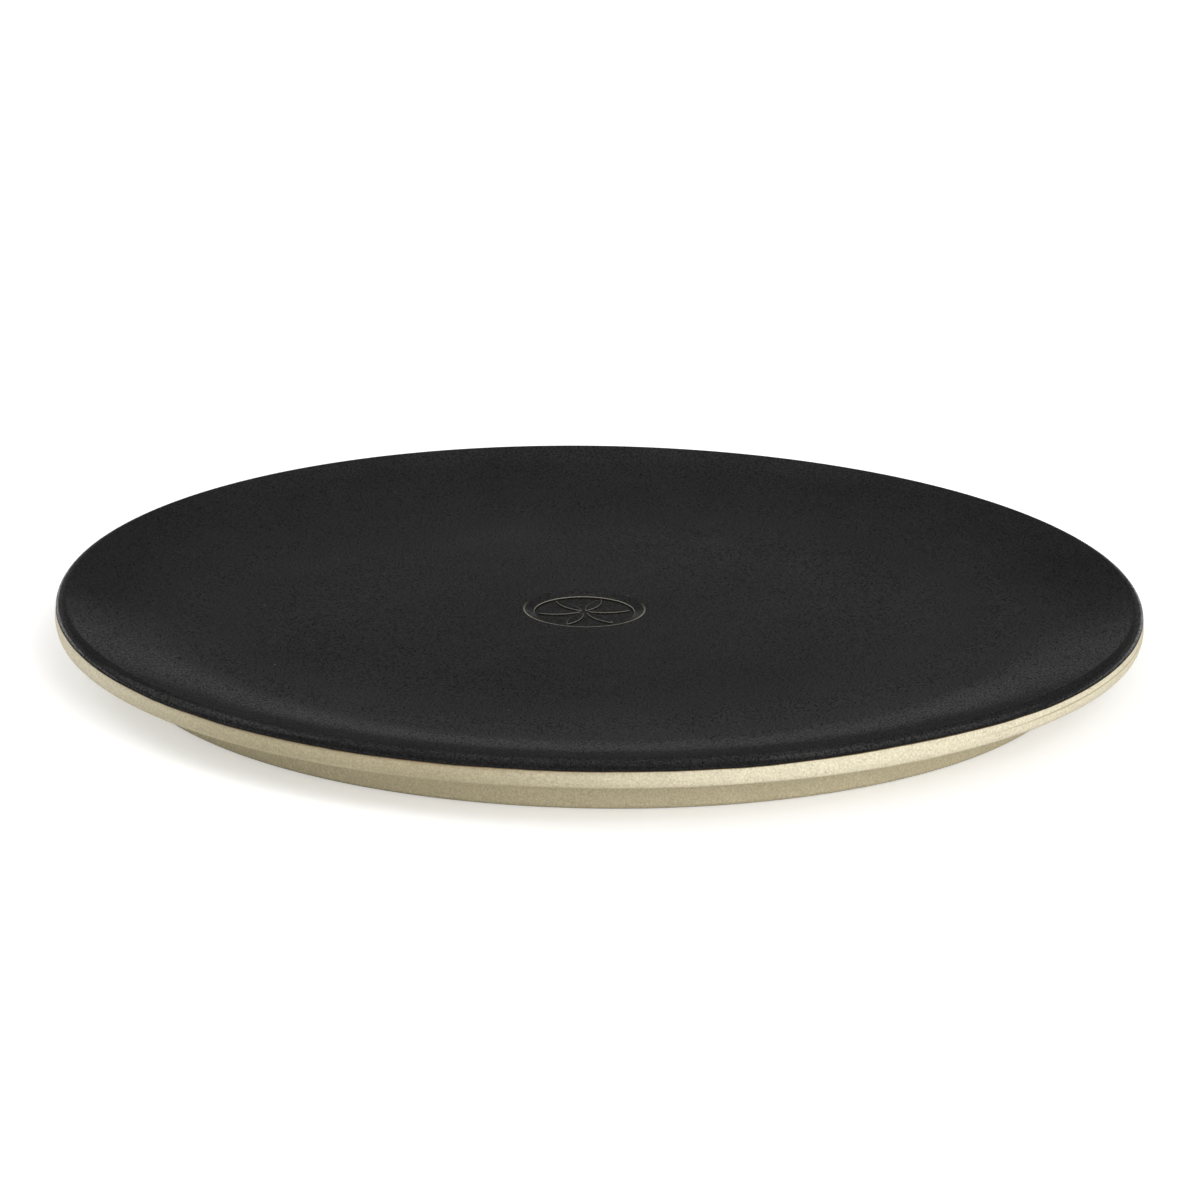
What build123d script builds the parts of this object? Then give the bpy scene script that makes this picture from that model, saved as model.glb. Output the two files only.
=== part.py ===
from build123d import *
from math import asin, cos, degrees, radians, tan
import os

# A round pizza stone of fired clay with a glaze baked on to its dished upper side.
# Millimetres, +Z up. The origin is the centre of the ring that the stone stands on.
# Every section is drawn in a plane through the axis, as radius and height.

# Overall sizes
outer_diameter = 370.0
height = 23.6

# Dished upper side, measured on the finished glaze
rim_width = 41.0
dish_depth = 7.6
ridge_rounding = 1.0
shoulder_radius = 3.2

# Glaze
glaze_thickness = 0.4

# Band of bare clay round the side, swelling out between its two edges
band_height = 5.4
band_bulge = 0.7
band_edge_rounding = 1.3

# Overhang of the rim, from its outer edge in to the foot, and how far its underside climbs outward
overhang = 22.2
underside_rise = 4.3
cove_radius = 5.0

# Standing ring and the recess inside it
foot_width = 13.0
foot_lean = 6.0
foot_rounding = 2.0
recess_depth = 2.5
recess_rounding = 1.5

# Rosette pressed into the floor, a little off the middle
stamp_x = -5.2
stamp_y = 0.7
stamp_floor_diameter = 34.0
stamp_wall_run = 3.6
stamp_depth = 1.0
stamp_turn = 8.6
petal_count = 6
petal_gap = 1.2
petal_clearance = 1.3
petal_relief = 0.5

# A petal drawn with compasses has two sides, each a sixth of a circle whose radius is the petal's length
petal_half_span = 30.0

# How far a cutting shape stands out of what it cuts
overrun = 1.0

# Radii and heights that follow from the sizes above
outer_radius = outer_diameter / 2
side_radius = outer_radius - band_bulge
floor_radius = outer_radius - rim_width
floor_height = height - dish_depth
foot_radius = outer_radius - overhang
shoulder_start = height - shoulder_radius
ridge_radius = side_radius + glaze_thickness - shoulder_radius

# The glaze ends square, one thickness below the start of the shoulder.
glaze_line = shoulder_start - glaze_thickness
band_bottom = glaze_line - band_height
foot_top = band_bottom - underside_rise
foot_top_radius = foot_radius + foot_top * tan(radians(foot_lean))

# One hollow arc leaves the floor level and runs smoothly into the rounded ridge.
dish_run = ridge_radius - floor_radius
centre_distance = (dish_run**2 + dish_depth**2) / (2 * dish_depth)
dish_radius = centre_distance - ridge_rounding
dish_angle = degrees(asin(dish_run / centre_distance))

# Petals fill the stamp's floor from the gap round its middle to their clearance from its wall.
stamp_floor_radius = stamp_floor_diameter / 2
petal_length = stamp_floor_radius - petal_gap - petal_clearance


def upper_surface(depth):
    """Draw the line of the upper side from the axis to the side wall, lying depth under the glaze."""
    Line((0, floor_height - depth), (floor_radius, floor_height - depth))
    CenterArc((floor_radius, floor_height + dish_radius), dish_radius + depth, -90, dish_angle)
    CenterArc((ridge_radius, height - ridge_rounding), ridge_rounding - depth, 90 + dish_angle, -dish_angle)
    CenterArc((ridge_radius, shoulder_start), shoulder_radius - depth, 90, -90)


def petal_outline(margin):
    """Draw one petal as the overlap of two circles, drawn in by margin."""
    circle_offset = petal_length * cos(radians(petal_half_span))
    with BuildSketch() as petal:
        with Locations((0, circle_offset)):
            Circle(petal_length - margin)
        with Locations((0, -circle_offset)):
            Circle(petal_length - margin, mode=Mode.INTERSECT)
    return petal.sketch


def rosette_punch(margin, rise):
    """Make the shape that presses the rosette, grown by margin and standing rise above the surface."""
    petal = petal_outline(margin)
    surface = floor_height - margin
    bottom = surface - stamp_depth - petal_relief
    step_radius = stamp_floor_radius + margin
    top_radius = step_radius + stamp_wall_run * (stamp_depth + rise) / stamp_depth
    with BuildPart() as punch:
        with BuildSketch(Plane((stamp_x, stamp_y, 0), x_dir=(1, 0, 0), z_dir=(0, -1, 0))):
            with BuildLine():
                Polyline(
                    (0, bottom),
                    (step_radius, bottom),
                    (step_radius, surface - stamp_depth),
                    (top_radius, surface + rise),
                    (0, surface + rise),
                    close=True,
                )
            make_face()
        revolve(axis=Axis((stamp_x, stamp_y, 0), (0, 0, 1)))
        with BuildSketch(Plane((stamp_x, stamp_y, bottom))):
            with PolarLocations(petal_gap + petal_length / 2, petal_count, start_angle=stamp_turn):
                add(petal)
        extrude(amount=petal_relief, mode=Mode.SUBTRACT)
    return punch.part


clay_punch = rosette_punch(glaze_thickness, glaze_thickness)
glaze_punch = rosette_punch(0, overrun)

# Fired clay, from the seat of the glaze down to the standing ring
with BuildPart() as clay_body:
    with BuildSketch(Plane.XZ) as clay_section:
        with BuildLine():
            upper_surface(glaze_thickness)
            Line((side_radius, shoulder_start), (side_radius, glaze_line))
            ThreePointArc(
                (side_radius, glaze_line),
                (outer_radius, glaze_line - band_height / 2),
                (side_radius, band_bottom),
            )
            Polyline(
                (side_radius, band_bottom),
                (foot_top_radius, foot_top),
                (foot_radius, 0),
                (foot_radius - foot_width, 0),
                (foot_radius - foot_width, recess_depth),
                (0, recess_depth),
                (0, floor_height - glaze_thickness),
            )
        make_face()
        corner_roundings = [
            ((side_radius, band_bottom), band_edge_rounding),
            ((foot_top_radius, foot_top), cove_radius),
            ((foot_radius, 0), foot_rounding),
            ((foot_radius - foot_width, 0), recess_rounding),
        ]
        for corner, rounding in corner_roundings:
            fillet(clay_section.vertices().sort_by_distance(corner)[0], rounding)
    revolve(axis=Axis.Z)
    add(clay_punch, mode=Mode.SUBTRACT)
clay_body.part.label = "clay_body"

# Glaze, seated on the clay face to face and lining the pressed rosette too
with BuildPart() as glaze_coat:
    with BuildSketch(Plane.XZ):
        with BuildLine():
            upper_surface(0)
            Polyline(
                (side_radius + glaze_thickness, shoulder_start),
                (side_radius + glaze_thickness, glaze_line),
                (side_radius, glaze_line),
                (side_radius, shoulder_start),
            )
            upper_surface(glaze_thickness)
            Line((0, floor_height), (0, floor_height - glaze_thickness))
        make_face()
    revolve(axis=Axis.Z)
    add(clay_punch)
    add(glaze_punch, mode=Mode.SUBTRACT)
glaze_coat.part.label = "glaze_coat"

os.makedirs("parts", exist_ok=True)
export_step(clay_body.part, "parts/clay_body.step")
export_step(glaze_coat.part, "parts/glaze_coat.step")
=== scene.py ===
from math import acos, asin, atan2, cos, degrees, hypot, pi, radians, sin, tan

import bpy
import bmesh
from mathutils import Matrix, Vector, noise


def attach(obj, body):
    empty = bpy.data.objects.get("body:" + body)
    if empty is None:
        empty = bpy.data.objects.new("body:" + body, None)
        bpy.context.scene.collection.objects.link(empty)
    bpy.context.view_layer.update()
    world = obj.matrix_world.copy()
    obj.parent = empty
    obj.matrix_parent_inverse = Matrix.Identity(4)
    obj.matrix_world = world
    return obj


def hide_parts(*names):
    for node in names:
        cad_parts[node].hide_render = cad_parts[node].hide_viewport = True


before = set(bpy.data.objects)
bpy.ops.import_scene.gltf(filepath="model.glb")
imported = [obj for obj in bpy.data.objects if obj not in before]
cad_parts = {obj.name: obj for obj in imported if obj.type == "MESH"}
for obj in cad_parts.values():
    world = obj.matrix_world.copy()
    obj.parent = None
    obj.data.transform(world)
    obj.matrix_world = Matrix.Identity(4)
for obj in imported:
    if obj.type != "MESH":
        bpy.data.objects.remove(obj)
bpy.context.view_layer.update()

# Sections and places below are in millimetres, and this turns them into metres.
mm = 0.001

# Sizes of the stone, the same as those of its solids
outer_radius = 185.0
height = 23.6
dish_depth = 7.6
rim_width = 41.0
ridge_rounding = 1.0
shoulder_radius = 3.2
glaze_thickness = 0.4
band_height = 5.4
band_bulge = 0.7
band_edge_rounding = 1.3
overhang = 22.2
underside_rise = 4.3
cove_radius = 5.0
foot_width = 13.0
foot_lean = 6.0
foot_rounding = 2.0
recess_depth = 2.5
recess_rounding = 1.5

# Sizes of the pressed rosette
stamp_x = -5.2
stamp_y = 0.7
stamp_floor_radius = 17.0
stamp_wall_run = 3.6
stamp_depth = 1.0
stamp_turn = 8.6
petal_count = 6
petal_gap = 1.2
petal_length = 14.5
petal_relief = 0.5
petal_half_span = 30.0

# What follows from them
side_radius = outer_radius - band_bulge
floor_radius = outer_radius - rim_width
floor_height = height - dish_depth
foot_radius = outer_radius - overhang
shoulder_start = height - shoulder_radius
ridge_radius = side_radius + glaze_thickness - shoulder_radius
glaze_line = shoulder_start - glaze_thickness
band_bottom = glaze_line - band_height
foot_top = band_bottom - underside_rise
foot_top_radius = foot_radius + foot_top * tan(radians(foot_lean))
stamp_rim_radius = stamp_floor_radius + stamp_wall_run
stamp_step_top = floor_height - stamp_depth
stamp_bottom = stamp_step_top - petal_relief

# The glazed floor isn't quite flat: it climbs from here on, with this slope in degrees where the dish begins.
hollow_start = 90.0
hollow_slope = 2.2

# How far the glaze softens the edges of the petals, of the stamp's rim and of the step round its floor
petal_edge = 0.2
rim_softening = 0.16
step_softening = 0.1

# How finely the pieces are turned about their axes, and the ring where the stamp's sheet meets the floor
clay_turns = 1080
glaze_turns = 720
join_radius = 60.0

# Width of the rings of faces that stand beside the stamp's edges, and of the first ring outside its rim
edge_guard = 0.4
stamp_margin = 1.4

# Steps that each curve of a section is drawn in, and the share of them for the glaze, its seat and the clay
hollow_steps = 10
dish_steps = 24
ridge_steps = 6
shoulder_steps = 14
least_steps = 2
glaze_fineness = 1.0
seat_fineness = 0.5
clay_fineness = 0.4
lip_steps = 6
petal_steps = 20
bulge_steps = 24
band_edge_steps = 5
cove_steps = 8
foot_steps = 6
recess_steps = 4

# Points nearer to each other than this are one.
merge_within = 0.001

# How near to a level or to a ring the points on it are
level_within = 0.01
ring_within = 0.05

# Faces that meet at less than this many degrees are smooth.
smooth_up_to = 35.0

# The glaze's lower edge wanders by a slow noise and some of a quick one.
lip_wander = 0.16
slow_wander = 0.05
quick_wander = 0.18
quick_share = 0.5

# It climbs at the front right, most at one azimuth and less over this many degrees to both sides.
lip_climb = 0.8
lip_climb_at = 34.0
lip_climb_reach = 22.0

# Points of the shoulder that face up this steeply, in degrees, stay where they are.
shoulder_top = 89.0

# Where the glaze is drier: a little from here outwards, and wholly on the lower part of the shoulder
dryness = 0.24
dry_from = 154.0
dry_run = 14.0
matte_run = 1.6

# How the stamp's edges have worn, with a painted highlight where the rim's front and the step's back catch the
# light: the share of the guard rings that is worn, how soon front turns into back, how far below the step's top
# the wear goes, and how far the petals' worn edges lie below their tops at least
worn_reach = 0.9
worn_turn = 1.2
worn_below = 0.09
worn_drop = 0.001

# The kiln's warp: how far the rim sinks at two sides, the azimuth where it stays high, and the height in the
# stone from which all of the warp shows
warp_sink = 0.9
warp_high_at = 27.0
warp_from = 10.0

# Lumps and sand on the band: name, size and depth, the detail of their noise, the level of it that stays at the
# surface while lower ones press inwards, and the strip under the glaze that is left smooth
band_roughness = (("lumps", 6.0, 0.10), ("sand", 0.9, 0.16))
band_noise_depth = 2
band_outward = 0.7
band_guard = 0.1

# The turned groove at the right: its section, its place down the band, and the azimuths where it fades
groove_half_width = 0.3
groove_depth = 0.22
groove_place = 0.36
groove_wander = 0.12
groove_wander_rate = 0.04
groove_starts = 38.0
groove_fades_in = 14.0
groove_ends = 100.0
groove_fades_out = 20.0


class Section:
    """A line drawn point by point in edit mode, in an upright plane or a level one."""

    def __init__(self, name, across, along, level=None):
        bpy.ops.object.select_all(action="DESELECT")
        bpy.ops.mesh.primitive_plane_add(size=mm)
        self.piece = bpy.context.object
        self.piece.name = name
        self.piece.data.name = name
        self.level = level
        self.point = Vector((across, along))
        bpy.ops.object.mode_set(mode="EDIT")
        bpy.ops.mesh.select_mode(type="VERT")
        bpy.ops.mesh.select_all(action="SELECT")
        bpy.ops.mesh.merge(type="CENTER")
        bpy.ops.transform.translate(value=self.place(self.point))

    def place(self, point):
        """Where a point of the section is, in metres."""
        across, along = point
        if self.level is None:
            return Vector((across, 0, along)) * mm
        return Vector((across, along, self.level)) * mm

    def line(self, across, along, parts=1):
        """Run straight to a point, in equal parts."""
        goal = Vector((across, along))
        step = (self.place(goal) - self.place(self.point)) / parts
        for _ in range(parts):
            bpy.ops.mesh.extrude_region_move(TRANSFORM_OT_translate={"value": step})
        self.point = goal

    def arc(self, across, along, turn, steps):
        """Run round a centre by an angle in degrees, anticlockwise where it is positive."""
        centre = Vector((across, along))
        axis = (0, -1, 0) if self.level is None else (0, 0, 1)
        bpy.ops.mesh.spin(steps=steps, angle=-radians(turn), center=self.place(centre), axis=axis)
        self.point = centre + Matrix.Rotation(radians(turn), 2) @ (self.point - centre)

    def corner(self, corner, onward, rounding, steps, parts=1):
        """Run to a corner and round it, to leave it towards the next point."""
        inward = (Vector(corner) - self.point).normalized()
        outward = (Vector(onward) - Vector(corner)).normalized()
        turn = -inward.angle_signed(outward)
        start = Vector(corner) - inward * rounding * tan(abs(turn) / 2)
        self.line(*start, parts)
        side = Vector((-inward.y, inward.x)) * (1 if turn > 0 else -1)
        self.arc(*(start + side * rounding), degrees(turn), steps)

    def turn_round(self, steps, across=0.0, along=0.0):
        """Turn the section about its upright axis, then move it to its place."""
        bpy.ops.object.mode_set(mode="OBJECT")
        turned = self.piece.modifiers.new("turned", "SCREW")
        turned.steps = steps
        turned.render_steps = steps
        turned.use_merge_vertices = True
        turned.merge_threshold = merge_within * mm
        bpy.ops.object.modifier_apply(modifier=turned.name)
        self.piece.location = Vector((across, along, 0)) * mm
        bpy.ops.object.transform_apply(location=True, rotation=True, scale=True)
        edit(self.piece)
        close_up()
        bpy.ops.object.mode_set(mode="OBJECT")
        return self.piece


def choose(piece):
    """Select one piece alone and make it the active one."""
    bpy.ops.object.select_all(action="DESELECT")
    bpy.context.view_layer.objects.active = piece
    piece.select_set(True)


def edit(piece):
    """Enter edit mode on one piece alone."""
    choose(piece)
    bpy.ops.object.mode_set(mode="EDIT")


def merge_all():
    """Select all and merge what meets, in edit mode."""
    bpy.ops.mesh.select_all(action="SELECT")
    bpy.ops.mesh.remove_doubles(threshold=merge_within * mm)


def close_up():
    """Merge what meets and point all faces outwards, in edit mode."""
    merge_all()
    bpy.ops.mesh.normals_make_consistent(inside=False)


def select_points(piece, wanted):
    """Select the points that pass a test on their place in millimetres, in edit mode."""
    bpy.ops.mesh.select_mode(type="VERT")
    bpy.ops.mesh.select_all(action="DESELECT")
    mesh = bmesh.from_edit_mesh(piece.data)
    for point in mesh.verts:
        point.select = wanted(point.co / mm)
    mesh.select_flush(True)
    bmesh.update_edit_mesh(piece.data)


def join(kept, *others):
    """Join pieces into the first one."""
    choose(kept)
    for piece in others:
        piece.select_set(True)
    bpy.ops.object.join()


def smooth_faces(piece):
    """Smooth the faces, save where they meet at more than the set angle."""
    choose(piece)
    bpy.ops.object.shade_smooth_by_angle(angle=radians(smooth_up_to))


def hand_over(piece, node):
    """Let a finished piece stand for its solid and ride with the stone."""
    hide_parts(node)
    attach(piece, "root")


def clamp(value):
    """Keep a value between 0 and 1."""
    return min(1.0, max(0.0, value))


def from_stamp(place):
    """How far a place is from the axis of the stamp, in millimetres."""
    return hypot(place.x - stamp_x, place.y - stamp_y)


def draw_upper_side(section, depth, back, fineness):
    """Draw the upper side from the hollow's start to the side wall, or back; the depth under the glaze is not
    used.
    """
    hollow_run = floor_radius - hollow_start
    slope = radians(hollow_slope)
    hollow_radius = hollow_run / sin(slope)
    hollow_end = Vector((floor_radius, floor_height + hollow_radius * (1 - cos(slope))))
    ridge_centre = Vector((ridge_radius, height - ridge_rounding))

    # The dish leaves the hollow smoothly and touches the rounded ridge.
    up = Vector((-sin(slope), cos(slope)))
    gap = hollow_end - ridge_centre
    dish_radius = (gap.length_squared - ridge_rounding**2) / (2 * (ridge_rounding - gap.dot(up)))
    dish_centre = hollow_end + up * dish_radius
    reach = ridge_centre - dish_centre
    steepest = degrees(atan2(reach.x, -reach.y))
    curves = [
        (hollow_start, floor_height + hollow_radius, hollow_slope, hollow_steps),
        (*dish_centre, steepest - hollow_slope, dish_steps),
        (*ridge_centre, -steepest, ridge_steps),
        (ridge_radius, shoulder_start, -90, shoulder_steps),
    ]
    if back:
        curves = [(across, along, -turn, steps) for across, along, turn, steps in reversed(curves)]
    for across, along, turn, steps in curves:
        section.arc(across, along, turn, max(least_steps, round(steps * fineness)))


def add_pressed_place(piece, margin, turns):
    """Close the ring in a piece's floor with the sunk floor and sloping wall of the stamp, grown by margin."""
    surface = floor_height - margin
    sunk = surface - stamp_depth
    step = stamp_floor_radius + margin
    rim = stamp_rim_radius + margin
    guard_drop = edge_guard * stamp_depth / stamp_wall_run
    section = Section("pressed_place", 0.0, sunk - petal_relief)
    section.line(step - edge_guard, sunk - petal_relief, parts=3)
    section.line(step, sunk - petal_relief)
    section.line(step, sunk)
    section.line(step + edge_guard, sunk + guard_drop)
    section.line(rim - edge_guard, surface - guard_drop, parts=3)
    section.line(rim, surface)
    section.line(rim + edge_guard, surface)
    section.line(rim + stamp_margin, surface)
    section.line(join_radius, surface)
    sheet = section.turn_round(turns, stamp_x, stamp_y)

    # The outermost ring moves from round the stamp to round the stone, on to the ring that it closes.
    edit(sheet)
    select_points(sheet, lambda place: from_stamp(place) > join_radius - stamp_margin)
    bpy.ops.transform.translate(value=Vector((-stamp_x, -stamp_y, 0)) * mm)
    bpy.ops.object.mode_set(mode="OBJECT")
    join(piece, sheet)
    edit(piece)
    close_up()
    bpy.ops.object.mode_set(mode="OBJECT")


def on_petal_top(place):
    """Whether a place is on the level of the petals' tops."""
    return abs(place.z - stamp_step_top) < level_within


def make_petals():
    """Make one compass-drawn petal, and copy it round the middle of the stamp."""
    middle = petal_gap + petal_length / 2
    offset = petal_length * cos(radians(petal_half_span))
    sunk = glaze_thickness / 2
    outline = Section("petal", petal_gap, 0.0, level=stamp_bottom - sunk)
    outline.arc(middle, -offset, -2 * petal_half_span, petal_steps)
    outline.arc(middle, offset, -2 * petal_half_span, petal_steps)
    merge_all()
    bpy.ops.mesh.select_all(action="SELECT")
    bpy.ops.mesh.edge_face_add()
    rise = Vector((0, 0, petal_relief + sunk)) * mm
    bpy.ops.mesh.extrude_region_move(TRANSFORM_OT_translate={"value": rise})
    petal = outline.piece
    select_points(petal, on_petal_top)
    bpy.ops.mesh.bevel(offset=petal_edge * mm, segments=2)
    select_points(petal, on_petal_top)
    bpy.ops.mesh.inset(thickness=2 * petal_edge * mm)
    close_up()
    bpy.ops.object.mode_set(mode="OBJECT")
    copies = []
    for _ in range(petal_count - 1):
        copy = petal.copy()
        copy.data = petal.data.copy()
        bpy.context.collection.objects.link(copy)
        copies.append(copy)
    for number, each in enumerate([petal] + copies):
        each.rotation_euler.z = radians(stamp_turn + 360 / petal_count * number)
        each.location = Vector((stamp_x, stamp_y, 0)) * mm
        choose(each)
        bpy.ops.object.transform_apply(location=True, rotation=True, scale=True)
    join(petal, *copies)
    return petal


def press_petals(skin):
    """Unite the petals with the skin, and soften the pressed edges as glaze does."""
    petals = make_petals()
    union = skin.modifiers.new("petals", "BOOLEAN")
    union.operation = "UNION"
    union.solver = "EXACT"
    union.object = petals
    choose(skin)
    bpy.ops.object.modifier_apply(modifier=union.name)
    bpy.data.objects.remove(petals)
    edit(skin)
    for radius, level, softening in (
        (stamp_rim_radius, floor_height, rim_softening),
        (stamp_floor_radius, stamp_step_top, step_softening),
    ):
        select_points(skin, lambda place: (
            abs(from_stamp(place) - radius) < ring_within and abs(place.z - level) < level_within
        ))
        bpy.ops.mesh.bevel(offset=softening * mm, segments=3)
    close_up()
    bpy.ops.object.mode_set(mode="OBJECT")


def thin_share(place):
    """How thin the glaze is at a place: it runs thin over its rolled lower edge."""
    if hypot(place.x, place.y) > side_radius - level_within and place.z < shoulder_start - ring_within:
        return min(1.0, (shoulder_start - place.z) / glaze_thickness)
    return 0.0


def worn_and_lit_share(place):
    """How worn the glaze is: at the front of the stamp's rim, the back of its step and the petals' edges; on
    the rim and step this lightening is also a painted highlight on the side that catches the light.
    """
    reach = from_stamp(place)
    near_edge = edge_guard * worn_reach
    if reach > stamp_rim_radius + near_edge or place.z < stamp_step_top - worn_below:
        return 0.0
    front = 0.5 - worn_turn * (place.y - stamp_y) / reach
    if abs(reach - stamp_rim_radius) < near_edge:
        return clamp(front)
    if abs(reach - stamp_floor_radius) < near_edge:
        return clamp(1 - front)
    on_petal_edge = reach < stamp_floor_radius - edge_guard and place.z < stamp_step_top - worn_drop
    return 1.0 if on_petal_edge else 0.0


def matte_share(place):
    """How dry the glaze is: a little towards the rim, and wholly on the lower part of the shoulder."""
    from_axis = hypot(place.x, place.y)
    share = dryness * clamp((from_axis - dry_from) / dry_run)
    if from_axis > ridge_radius:
        share = max(share, min(1.0, (shoulder_start - place.z) / matte_run + 1.0))
    return share


def mark_glaze(skin):
    """Note at each point how thin, worn (partly a painted highlight) and matte the glaze is, for its finish to
    read.
    """
    for name, share in (("thin", thin_share), ("worn", worn_and_lit_share), ("matte", matte_share)):
        marks = skin.data.attributes.new(name, "FLOAT", "POINT").data
        for point in skin.data.vertices:
            marks[point.index].value = share(point.co / mm)


def slide_lip(skin):
    """Let the lower edge of the glaze wander up and down round the shoulder, and climb at the front right."""
    for point in skin.data.vertices:
        place = point.co / mm
        from_axis = hypot(place.x, place.y)
        out = Vector((from_axis - ridge_radius, place.z - shoulder_start))
        angle = degrees(atan2(out.y, out.x))
        if out.x < level_within or angle > shoulder_top:
            continue
        azimuth = degrees(atan2(place.x, -place.y))
        climb = lip_climb * 0.5 * (1 + cos(pi * min(1.0, abs(azimuth - lip_climb_at) / lip_climb_reach)))
        wander = noise.noise(place * slow_wander) + quick_share * noise.noise(place * quick_wander)
        turn = (climb + lip_wander * wander) / shoulder_radius * (1 - max(0.0, angle) / 90)
        moved = Matrix.Rotation(turn, 2) @ out
        spread = (ridge_radius + moved.x) / from_axis
        point.co = Vector((place.x * spread, place.y * spread, shoulder_start + moved.y)) * mm


def make_glaze():
    """Make the glaze as a closed skin: floor, dish, ridge, shoulder, rolled lower edge and seat."""
    section = Section("glaze_skin", join_radius, floor_height)
    section.line(hollow_start, floor_height, parts=3)
    draw_upper_side(section, 0.0, False, glaze_fineness)
    section.arc(side_radius, shoulder_start, -90, lip_steps)
    section.line(side_radius, shoulder_start)
    draw_upper_side(section, glaze_thickness, True, seat_fineness)
    section.line(join_radius, floor_height - glaze_thickness, parts=2)
    skin = section.turn_round(glaze_turns)
    add_pressed_place(skin, 0.0, glaze_turns)
    add_pressed_place(skin, glaze_thickness, glaze_turns)
    press_petals(skin)
    smooth_faces(skin)
    mark_glaze(skin)
    slide_lip(skin)
    return skin


def make_clay():
    """Make the fired clay: seat of the glaze, band, overhang, cove, standing ring and recess."""
    bulge_radius = ((band_height / 2)**2 + band_bulge**2) / (2 * band_bulge)
    bulge_half_angle = degrees(asin(band_height / 2 / bulge_radius))
    bulge_centre = Vector((outer_radius - bulge_radius, glaze_line - band_height / 2))

    # The rounding under the band touches both the bulge and the slope of the overhang.
    band_corner = Vector((side_radius, band_bottom))
    cove_corner = Vector((foot_top_radius, foot_top))
    slope = (cove_corner - band_corner).normalized()
    upward = Vector((slope.y, -slope.x))
    reach = (band_edge_rounding - upward.dot(bulge_centre - band_corner)) / (bulge_radius - band_edge_rounding)
    bulge_end = degrees(atan2(upward.y, upward.x) - acos(reach))
    rounding_turn = degrees(atan2(-upward.y, -upward.x)) - bulge_end
    outward = Vector((cos(radians(bulge_end)), sin(radians(bulge_end))))
    rounding_centre = bulge_centre + outward * (bulge_radius - band_edge_rounding)

    section = Section("clay_stone", join_radius, floor_height - glaze_thickness)
    section.line(hollow_start, floor_height - glaze_thickness)
    draw_upper_side(section, glaze_thickness, False, clay_fineness)
    section.line(side_radius, glaze_line)
    section.arc(*bulge_centre, bulge_end - bulge_half_angle, bulge_steps)
    section.arc(*rounding_centre, rounding_turn, band_edge_steps)
    foot_corner = (foot_radius, 0.0)
    inner_corner = (foot_radius - foot_width, 0.0)
    recess_corner = (foot_radius - foot_width, recess_depth)
    section.corner(cove_corner, foot_corner, cove_radius, cove_steps, parts=2)
    section.corner(foot_corner, inner_corner, foot_rounding, foot_steps, parts=2)
    section.corner(inner_corner, recess_corner, recess_rounding, recess_steps)
    section.line(*recess_corner)
    section.line(0.0, recess_depth, parts=2)
    stone = section.turn_round(clay_turns)
    add_pressed_place(stone, glaze_thickness, clay_turns)
    smooth_faces(stone)
    return stone


def roughen_band(stone):
    """Press low lumps and sand into the band, and return the points that are on it."""
    band = stone.vertex_groups.new(name="band")
    inside = [
        point.index
        for point in stone.data.vertices
        if hypot(point.co.x, point.co.y) / mm > side_radius
        and band_bottom < point.co.z / mm < glaze_line - band_guard
    ]
    band.add(inside, 1.0, "REPLACE")
    bpy.context.view_layer.objects.active = stone
    for name, size, depth in band_roughness:
        texture = bpy.data.textures.new(name, "CLOUDS")
        texture.noise_scale = size * mm
        texture.noise_depth = band_noise_depth
        press = stone.modifiers.new(name, "DISPLACE")
        press.texture = texture
        press.vertex_group = band.name
        press.strength = depth * mm
        press.mid_level = band_outward
        bpy.ops.object.modifier_apply(modifier=press.name)
    return inside


def cut_groove(stone, inside):
    """Cut the turned groove at the band's right side, and keep the band within the stone's outer radius."""
    marks = stone.data.attributes.new("groove", "FLOAT", "POINT").data
    for index in inside:
        point = stone.data.vertices[index]
        place = point.co / mm
        azimuth = degrees(atan2(place.x, -place.y))
        fade = clamp((azimuth - groove_starts) / groove_fades_in)
        fade *= clamp((groove_ends - azimuth) / groove_fades_out)
        line = glaze_line - band_height * groove_place + groove_wander * noise.noise(place * groove_wander_rate)
        share = max(0.0, 1.0 - abs(place.z - line) / groove_half_width) * fade
        marks[index].value = share
        from_axis = hypot(place.x, place.y)
        shrink = 1 - share * groove_depth / from_axis
        if from_axis > outer_radius:
            shrink *= outer_radius / from_axis
        point.co.x *= shrink
        point.co.y *= shrink


def warp(piece):
    """Bend a piece as kilns do: the rim sinks at two opposite sides and the standing ring stays level."""
    for point in piece.data.vertices:
        place = point.co / mm
        azimuth = atan2(place.x, -place.y)
        sink = warp_sink * (1 - cos(2 * (azimuth - radians(warp_high_at)))) / 2
        share = (hypot(place.x, place.y) / outer_radius)**2 * clamp(place.z / warp_from)
        point.co.z -= sink * share * mm


glaze_skin = make_glaze()
clay_stone = make_clay()
cut_groove(clay_stone, roughen_band(clay_stone))
warp(glaze_skin)
warp(clay_stone)
hand_over(glaze_skin, "glaze_coat")
hand_over(clay_stone, "clay_body")

# The noise of every grain, and the least tone that it falls to
grain_detail = 3.0
grain_roughness = 0.6
darkest_tone = 0.1

# Heights of a grain between which a finish's roughness goes from its lower value to its upper one
grain_low = 0.3
grain_high = 0.7

# The glaze: its own colour, and that of its specks, of its thin lower edge, which also gives the painted shade
# on the clay under the glaze's edge, and of its worn edges, partly a painted highlight
glaze_black = (0.0096, 0.0096, 0.0094)
speck_grey = (0.10, 0.10, 0.095)
thin_glaze_and_shade_tan = (0.26, 0.18, 0.10)
worn_and_lit_grey = (0.24, 0.225, 0.18)

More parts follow.
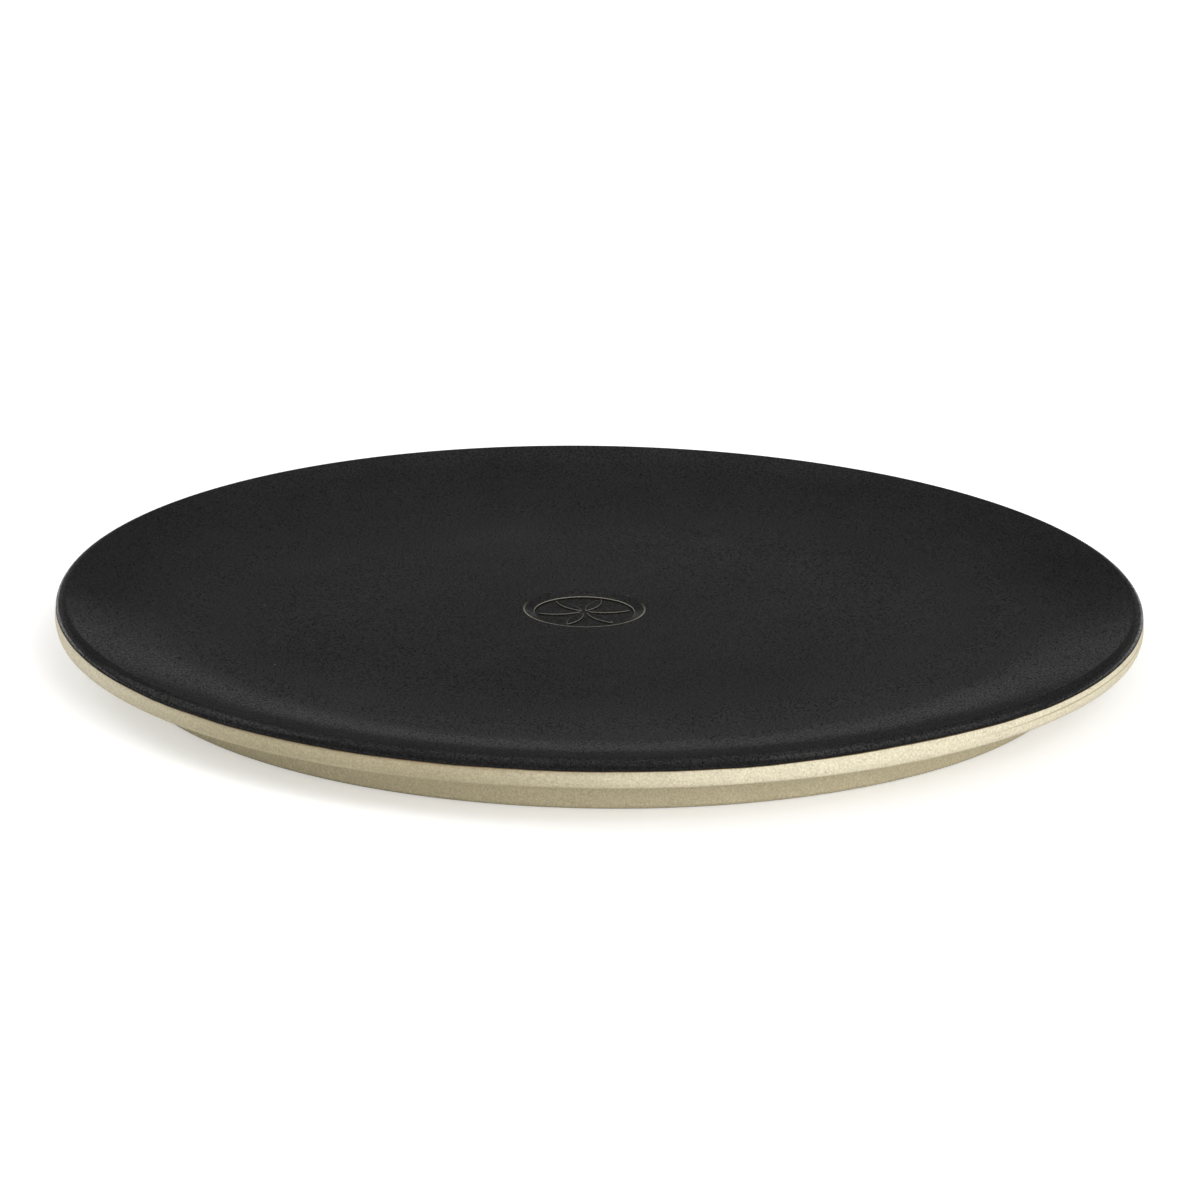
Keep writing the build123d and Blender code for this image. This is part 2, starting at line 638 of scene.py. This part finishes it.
# Size in millimetres and contrast of the glaze's grain, of its broken gloss and of the slow drift in both
glaze_grain = (0.65, 3.0)
broken_gloss = (0.7, 7.0)
slow_drift = (34.0, 0.5)
glaze_roughness = (0.14, 0.19)
matte_roughness = 0.3
glaze_bump = 0.02

# All of the glaze's gloss is its coat's: the share of it, and the coat's roughness and index of refraction.
glaze_sheen = 0.74
sheen_roughness = 0.16
sheen_ior = 1.7

# Pale specks: cells in a metre, radius of a speck's heart and edge in cells, and share of cells without one
speck_cells = 180.0
speck_heart = 0.03
speck_edge = 0.08
speckless_share = 0.86

# The clay: cream on the band, darker on the foot as painted shade under the overhang, brown in the pits as
# painted shade, and a painted shade at the front left where less light falls, wholly within the core and fading
# to nothing at the reach, in degrees
clay_cream = (0.63, 0.575, 0.43)
clay_foot_shaded = (0.535, 0.475, 0.325)
pit_shade_brown = (0.36, 0.30, 0.19)
clay_side_shade = (0.385, 0.335, 0.215)
side_shade_at = -26.0
side_shade_core = 6.0
side_shade_reach = 46.0

# Under the glaze's edge, at the front left, the clay gets a further painted shade in the thin glaze's tan, up
# to this share and over this height.
lip_shade_share = 0.6
lip_shade_height = 1.4

# Size in millimetres and contrast of the clay's sand and of its patches
clay_sand = (0.7, 1.0)
clay_patches = (16.0, 0.12)

# The foot's colour is darkened with painted shade under the band's overhang: all of it starts this far below
# the band's lower edge, and none is left this far above it.
foot_shade_below = 1.6
shade_ends_above = 0.7

# The clay's roughness, bumps and faint gloss
clay_roughness = (0.82, 0.95)
clay_bump = 0.14
clay_bump_strength = 0.8
clay_gloss = 0.3

# Pits: size in millimetres, and the heights of their noise between which a pit ends
pit_size = 0.9
pit_detail = 4.0
pit_noise_roughness = 0.7
pit_full = 0.28
pit_none = 0.40


def add_node(tree, kind, values=None, **settings):
    """Add a node, set its properties, and give its sockets numbers or the outputs that feed them."""
    node = tree.nodes.new(kind)
    for name, value in settings.items():
        setattr(node, name, value)
    for socket, value in (values or {}).items():
        if isinstance(value, bpy.types.NodeSocket):
            tree.links.new(value, node.inputs[socket])
        else:
            node.inputs[socket].default_value = value
    return node


def add_math(tree, operation, *values, clamped=False):
    """Add a sum of one kind, and give its result."""
    values = dict(enumerate(values))
    return add_node(tree, "ShaderNodeMath", values, operation=operation, use_clamp=clamped).outputs[0]


def add_range(tree, value, low, high, start=0.0, end=1.0, kind="LINEAR"):
    """Spread a value's range from low to high over another one, and stop at its ends."""
    values = {"Value": value, "From Min": low, "From Max": high, "To Min": start, "To Max": end}
    return add_node(tree, "ShaderNodeMapRange", values, interpolation_type=kind).outputs[0]


def add_mark(tree, name):
    """Read a mark that was noted at the piece's points."""
    return add_node(tree, "ShaderNodeAttribute", attribute_name=name).outputs["Fac"]


def build_fired_grain():
    """A group that gives a grain of one size: a tone about 1 and a height."""
    tree = bpy.data.node_groups.new("fired grain", "ShaderNodeTree")
    for name, value in (("Size", 0.5), ("Contrast", 0.2)):
        socket = tree.interface.new_socket(name=name, in_out="INPUT", socket_type="NodeSocketFloat")
        socket.default_value = value
    for name in ("Tone", "Height"):
        tree.interface.new_socket(name=name, in_out="OUTPUT", socket_type="NodeSocketFloat")
    given = tree.nodes.new("NodeGroupInput").outputs
    grain = add_node(tree, "ShaderNodeTexNoise", {
        "Vector": add_node(tree, "ShaderNodeTexCoord").outputs["Object"],
        "Scale": add_math(tree, "DIVIDE", 1 / mm, given["Size"]),
        "Detail": grain_detail,
        "Roughness": grain_roughness,
    }).outputs["Fac"]
    swing = add_math(tree, "SUBTRACT", grain, 0.5)
    tone = add_math(tree, "MULTIPLY_ADD", swing, given["Contrast"], 1.0)
    tone = add_math(tree, "MAXIMUM", tone, darkest_tone)
    add_node(tree, "NodeGroupOutput", {"Tone": tone, "Height": grain})
    return tree


def add_grain(tree, size, contrast):
    """Place the grain group at one size in millimetres."""
    values = {"Size": size, "Contrast": contrast}
    return add_node(tree, "ShaderNodeGroup", values, node_tree=fired_grain).outputs


def scale_colour(tree, colour, *tones):
    """Multiply a colour by one tone after another."""
    for tone in tones:
        colour = add_node(tree, "ShaderNodeVectorMath", {0: colour, 1: tone}, operation="MULTIPLY").outputs[0]
    return colour


def mix_colour(tree, share, colour, other):
    """Mix a colour with another one, by its share from 0 to 1."""
    if not isinstance(colour, bpy.types.NodeSocket):
        colour = (*colour, 1.0)
    values = {"Factor": share, 6: colour, 7: (*other, 1.0)}
    return add_node(tree, "ShaderNodeMix", values, data_type="RGBA").outputs[2]


def start_finish(name):
    """Begin a material with its shader and output."""
    finish = bpy.data.materials.new(name)
    finish.use_nodes = True
    tree = finish.node_tree
    tree.nodes.clear()
    shader = tree.nodes.new("ShaderNodeBsdfPrincipled")
    add_node(tree, "ShaderNodeOutputMaterial", {"Surface": shader.outputs[0]})
    return finish, tree, shader


def feed(tree, shader, outputs):
    """Link outputs to the shader's sockets, by the sockets' names."""
    for name, output in outputs.items():
        tree.links.new(output, shader.inputs[name])


def speck_share(tree):
    """Where the glaze has a pale speck: in the heart of a few scattered cells."""
    place = add_node(tree, "ShaderNodeTexCoord").outputs["Object"]
    cells = add_node(tree, "ShaderNodeTexVoronoi", {"Vector": place, "Scale": speck_cells}).outputs
    near = add_range(tree, cells["Distance"], speck_heart, speck_edge, 1.0, 0.0)
    few = add_math(tree, "GREATER_THAN", cells["Color"], speckless_share)
    return add_math(tree, "MULTIPLY", near, few)


def black_glaze_finish():
    """Satin black glaze with grain and pale specks, tan where it runs thin, and grey where it is worn, which on
    the stamp's rim and step is partly a painted highlight.
    """
    finish, tree, shader = start_finish("black_glaze")
    grain = add_grain(tree, *glaze_grain)
    drift = add_grain(tree, *slow_drift)
    matte = add_mark(tree, "matte")
    colour = scale_colour(tree, glaze_black, grain["Tone"], drift["Tone"])
    colour = mix_colour(tree, speck_share(tree), colour, speck_grey)
    colour = mix_colour(tree, add_mark(tree, "thin"), colour, thin_glaze_and_shade_tan)
    # Worn grey: glaze broken over the stamp's edges, partly a painted highlight at the rim's front and the
    # step's back
    colour = mix_colour(tree, add_mark(tree, "worn"), colour, worn_and_lit_grey)
    rough = add_range(tree, drift["Height"], grain_low, grain_high, *glaze_roughness)
    rough = add_math(tree, "MULTIPLY_ADD", matte, matte_roughness, rough)
    sheen = add_range(tree, matte, 0.0, 1.0, glaze_sheen, 0.0)
    sheen = add_math(tree, "MULTIPLY", sheen, drift["Tone"])
    sheen = add_math(tree, "MULTIPLY", sheen, add_grain(tree, *broken_gloss)["Tone"], clamped=True)
    bump = add_node(tree, "ShaderNodeBump", {
        "Height": grain["Height"], "Distance": glaze_bump * mm, "Strength": 1.0,
    })
    feed(tree, shader, {
        "Base Color": colour, "Roughness": rough, "Coat Weight": sheen, "Normal": bump.outputs[0],
    })
    shader.inputs["Coat Roughness"].default_value = sheen_roughness
    shader.inputs["Coat IOR"].default_value = sheen_ior
    shader.inputs["Specular IOR Level"].default_value = 0.0
    return finish


def side_shade_share(tree, place):
    """How much painted shade the clay gets on its front left side, where less light falls: most there and
    nothing away from there.
    """
    parts = add_node(tree, "ShaderNodeSeparateXYZ", {0: place}).outputs
    front = add_math(tree, "MULTIPLY", parts["Y"], -1.0)
    azimuth = add_math(tree, "ARCTAN2", parts["X"], front)
    gap = add_math(tree, "SUBTRACT", azimuth, radians(side_shade_at))
    gap = add_math(tree, "ABSOLUTE", gap)
    return add_range(tree, gap, radians(side_shade_core), radians(side_shade_reach), 1.0, 0.0, "SMOOTHSTEP")


def pit_share(tree, place, on_band, sand):
    """Where the band is pitted, and along its groove broken up by the sand's grain: the share of painted shade
    in these hollows.
    """
    pits = add_node(tree, "ShaderNodeTexNoise", {
        "Vector": place, "Scale": 1 / (pit_size * mm), "Detail": pit_detail, "Roughness": pit_noise_roughness,
    }).outputs["Fac"]
    pit = add_range(tree, pits, pit_full, pit_none, 1.0, 0.0)
    pit = add_math(tree, "MULTIPLY", pit, on_band)
    broken = add_math(tree, "MULTIPLY", add_mark(tree, "groove"), sand["Tone"])
    return add_math(tree, "MAXIMUM", pit, broken, clamped=True)


def bare_clay_finish():
    """Fired clay: sandy and pitted on the band, smoother below it, with painted shade in the pits and groove,
    on the foot under the overhang, at the front left and under the glaze's edge there.
    """
    finish, tree, shader = start_finish("bare_clay")
    sand = add_grain(tree, *clay_sand)
    patches = add_grain(tree, *clay_patches)
    place = add_node(tree, "ShaderNodeTexCoord").outputs["Object"]
    level = add_node(tree, "ShaderNodeSeparateXYZ", {0: place}).outputs["Z"]
    foot_from = (band_bottom - foot_shade_below) * mm
    band_from = (band_bottom + shade_ends_above) * mm
    on_band = add_range(tree, level, foot_from, band_from)
    under_band_shade = add_math(tree, "SUBTRACT", 1.0, on_band)
    # Painted shade just under the glaze's edge, at the front left only
    by_glaze = add_range(tree, level, (glaze_line - lip_shade_height) * mm, glaze_line * mm, 0.0, lip_shade_share)
    side_shade = side_shade_share(tree, place)
    lip_shade = add_math(tree, "MULTIPLY", by_glaze, side_shade)
    pit = pit_share(tree, place, on_band, sand)
    # Painted shade on the front left side of the clay, where less light falls
    colour = mix_colour(tree, side_shade, clay_cream, clay_side_shade)
    colour = mix_colour(tree, lip_shade, colour, thin_glaze_and_shade_tan)
    # Painted shade: the foot under the overhang is darkened, fading out up the band's lower edge
    colour = mix_colour(tree, under_band_shade, colour, clay_foot_shaded)
    colour = scale_colour(tree, colour, sand["Tone"], patches["Tone"])
    # Painted shade: the pits and the groove darkened to brown
    colour = mix_colour(tree, pit, colour, pit_shade_brown)
    rough = add_range(tree, sand["Height"], grain_low, grain_high, *clay_roughness)
    bump = add_node(tree, "ShaderNodeBump", {
        "Height": add_math(tree, "SUBTRACT", sand["Height"], pit),
        "Distance": clay_bump * mm,
        "Strength": clay_bump_strength,
    })
    feed(tree, shader, {"Base Color": colour, "Roughness": rough, "Normal": bump.outputs[0]})
    shader.inputs["Specular IOR Level"].default_value = clay_gloss
    return finish


def give_finish(piece, finish):
    """Give a piece its one finish."""
    piece.data.materials.clear()
    piece.data.materials.append(finish)


fired_grain = build_fired_grain()
give_finish(glaze_skin, black_glaze_finish())
give_finish(clay_stone, bare_clay_finish())

# The floor: width in metres, depth in millimetres under the stone, paint, and the lift that whitens it
floor_size = 80.0
floor_drop = 0.05
floor_paint = 0.8
floor_lift = 0.4

# How bright the studio is at each height above the horizon, in degrees
studio_tones = [(0, 0.085), (3, 0.13), (6, 0.18), (11, 0.2), (18, 0.067), (38, 0.12), (60, 0.3), (90, 0.35)]

# Soft lamps: name, degrees to the right of the camera and up, strength, width in degrees, seen in the gloss
lamps = [
    ("key", 36, 30, 2.25, 50, False),
    ("key_sheen", 78, 38, 0.3, 60, True),
    ("left", -112, 30, 1.3, 50, False),
    ("left_sheen", -105, 34, 0.18, 50, True),
    ("fill", -25, 8, 0.6, 30, False),
    ("right_fill", 62, 6, 0.45, 30, False),
    ("top", 0, 90, 0.5, 70, False),
]

# The camera, measured in a picture 1200 pixels wide
picture_width = 1200
focal_pixels = 5850
camera_distance = 2.0
camera_elevation = 17.563
camera_roll = 0.762
middle_x = 599.0
middle_y = 654.2
sensor_width = 36.0
nearest_seen = 0.1
farthest_seen = 100.0


def lay_floor():
    """A plain pale floor, white to the eye, that keeps the stone's shadow and can't be seen from below."""
    bpy.ops.object.select_all(action="DESELECT")
    bpy.ops.mesh.primitive_plane_add(size=floor_size, location=(0, 0, -floor_drop * mm))
    floor = bpy.context.object
    floor.name = "floor"
    bpy.ops.object.transform_apply(location=True, rotation=True, scale=True)
    finish = bpy.data.materials.new("pale_floor")
    finish.use_nodes = True
    tree = finish.node_tree
    tree.nodes.clear()
    path = add_node(tree, "ShaderNodeLightPath").outputs
    seen = add_math(tree, "MAXIMUM", path["Is Camera Ray"], path["Is Transmission Ray"])
    lift = add_math(tree, "MULTIPLY", seen, floor_lift)
    paint = add_node(tree, "ShaderNodeBsdfDiffuse", {"Color": (floor_paint,) * 3 + (1,)}).outputs[0]
    glow = add_node(tree, "ShaderNodeEmission", {"Color": (1, 1, 1, 1), "Strength": lift}).outputs[0]
    solid = add_node(tree, "ShaderNodeAddShader", {0: paint, 1: glow}).outputs[0]
    clear = add_node(tree, "ShaderNodeBsdfTransparent").outputs[0]
    back = add_node(tree, "ShaderNodeNewGeometry").outputs["Backfacing"]
    both = add_node(tree, "ShaderNodeMixShader", {0: back, 1: solid, 2: clear}).outputs[0]
    add_node(tree, "ShaderNodeOutputMaterial", {"Surface": both})
    floor.data.materials.append(finish)


def build_studio():
    """A dim studio, pale just above the horizon and overhead."""
    world = bpy.data.worlds.new("studio")
    bpy.context.scene.world = world
    world.use_nodes = True
    tree = world.node_tree
    tree.nodes.clear()
    way = add_node(tree, "ShaderNodeTexCoord").outputs["Generated"]
    up = add_node(tree, "ShaderNodeSeparateXYZ", {0: way}).outputs["Z"]
    tones = add_node(tree, "ShaderNodeValToRGB", {0: add_range(tree, up, -1.0, 1.0)})
    marks = tones.color_ramp.elements
    marks[0].position = 0.5
    marks[0].color = (studio_tones[0][1],) * 3 + (1,)
    marks[1].position = 1.0
    marks[1].color = (studio_tones[-1][1],) * 3 + (1,)
    for elevation, tone in studio_tones[1:-1]:
        marks.new((1 + sin(radians(elevation))) / 2).color = (tone, tone, tone, 1)
    light = add_node(tree, "ShaderNodeBackground", {"Color": tones.outputs["Color"], "Strength": 1.0})
    add_node(tree, "ShaderNodeOutputWorld", {"Surface": light.outputs[0]})


def hang_lamps():
    """Large soft lamps round the stone: the main one at the front right, and two weak ones for the gloss."""
    for name, azimuth, elevation, strength, width, in_gloss in lamps:
        bpy.ops.object.light_add(type="SUN")
        lamp = bpy.context.object
        lamp.name = name
        lamp.data.energy = strength
        lamp.data.angle = radians(width)
        lamp.visible_glossy = in_gloss
        lamp.rotation_euler = (radians(90 - elevation), 0, radians(azimuth))


def place_camera():
    """Put the camera at the photograph's angle, with the stone's middle where it is in the picture."""
    bpy.ops.object.camera_add()
    camera = bpy.context.object
    bpy.context.scene.camera = camera
    camera.data.sensor_width = sensor_width
    camera.data.lens = sensor_width * focal_pixels / picture_width
    level = radians(camera_elevation)
    camera.location = Vector((0, -cos(level), sin(level))) * camera_distance
    aim = Matrix.Rotation(radians(90) - level, 3, "X") @ Matrix.Rotation(radians(camera_roll), 3, "Z")
    across = atan2(middle_x - picture_width / 2, focal_pixels)
    down = atan2(middle_y - picture_width / 2, focal_pixels)
    aim = aim @ Matrix.Rotation(down, 3, "X") @ Matrix.Rotation(across, 3, "Y")
    camera.rotation_euler = aim.to_euler()
    camera.data.clip_start = nearest_seen
    camera.data.clip_end = farthest_seen


lay_floor()
build_studio()
hang_lamps()
place_camera()
bpy.context.scene.view_settings.view_transform = "Standard"
bpy.ops.object.select_all(action="DESELECT")
